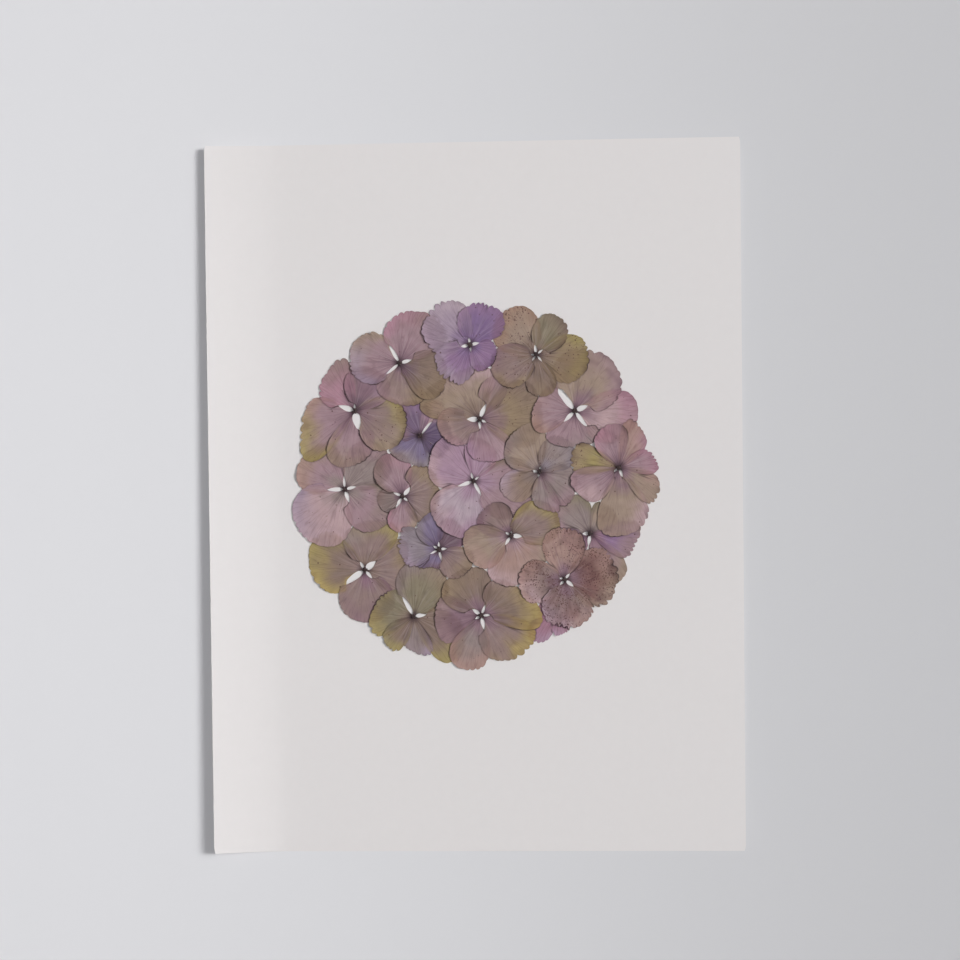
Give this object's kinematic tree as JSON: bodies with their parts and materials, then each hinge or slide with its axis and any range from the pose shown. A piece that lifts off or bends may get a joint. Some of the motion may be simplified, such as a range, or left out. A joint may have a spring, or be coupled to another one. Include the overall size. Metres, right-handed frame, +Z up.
{
  "type": "pressed flower sheet",
  "caption": "Upright sheet of heavy paper with overlapping pressed florets laid flat in a round patch, for fixing flat to a wall; unframed.",
  "frame": {"origin": "centre of the sheet's flat back face, where it lies on the wall", "axes": "+Z up the long side of the sheet, -Y out of the face with the flowers, +X to the viewer's right"},
  "size_m": [0.229, 0.0054, 0.305],
  "materials": {
    "paper": "matt uncoated heavy paper, soft grain",
    "sepals_pink_low": "matt dried sepals, magenta-pink",
    "sepals_straw_left": "matt dried sepals, mauve-brown with straw tips",
    "sepals_mauve_left": "matt dried sepals, greyish mauve to pink",
    "sepals_olive_low": "matt dried sepals, olive-green and grey-lilac",
    "sepals_violet_low": "matt dried sepals, violet-mauve to tan",
    "sepals_brown_low": "matt dried sepals, mauve-brown with olive tips",
    "sepals_rose_small": "matt dried sepals, rose-mauve",
    "sepals_blue_low": "matt dried sepals, blue-violet to brown",
    "sepals_violet_small": "matt dried sepals, violet-blue",
    "sepals_lilac_middle": "matt dried sepals, pale lilac to rose",
    "sepals_rose_left": "matt dried sepals, rose and mauve with a tan edge",
    "sepals_olive_middle": "matt dried sepals, olive-tan and pinkish mauve",
    "sepals_pink_olive": "matt dried sepals, pinkish olive",
    "sepals_grey_middle": "matt dried sepals, grey-tan",
    "sepals_speckled": "matt dried sepals, salmon-tan with rust-brown specks",
    "sepals_mauve_top": "matt dried sepals, mauve and olive-brown",
    "sepals_mauve_right": "matt dried sepals, mauve to pink",
    "sepals_rose_rim": "matt dried sepals, rose-mauve and straw",
    "sepals_olive_top": "matt dried sepals, olive-brown and tan",
    "sepals_violet_top": "matt dried sepals, lilac to deep violet"
  },
  "bodies": {
    "root": {"paper_sheet": "paper", "floret_pink_low": "sepals_pink_low", "floret_straw_left": "sepals_straw_left", "floret_mauve_left": "sepals_mauve_left", "floret_olive_low": "sepals_olive_low", "floret_violet_low": "sepals_violet_low", "floret_brown_low": "sepals_brown_low", "floret_rose_small": "sepals_rose_small", "floret_blue_low": "sepals_blue_low", "floret_violet_small": "sepals_violet_small", "floret_lilac_middle": "sepals_lilac_middle", "floret_rose_left": "sepals_rose_left", "floret_olive_middle": "sepals_olive_middle", "floret_pink_olive": "sepals_pink_olive", "floret_grey_middle": "sepals_grey_middle", "floret_speckled": "sepals_speckled", "floret_mauve_top": "sepals_mauve_top", "floret_mauve_right": "sepals_mauve_right", "floret_rose_rim": "sepals_rose_rim", "floret_olive_top": "sepals_olive_top", "floret_violet_top": "sepals_violet_top"}
  },
  "joints": []
}
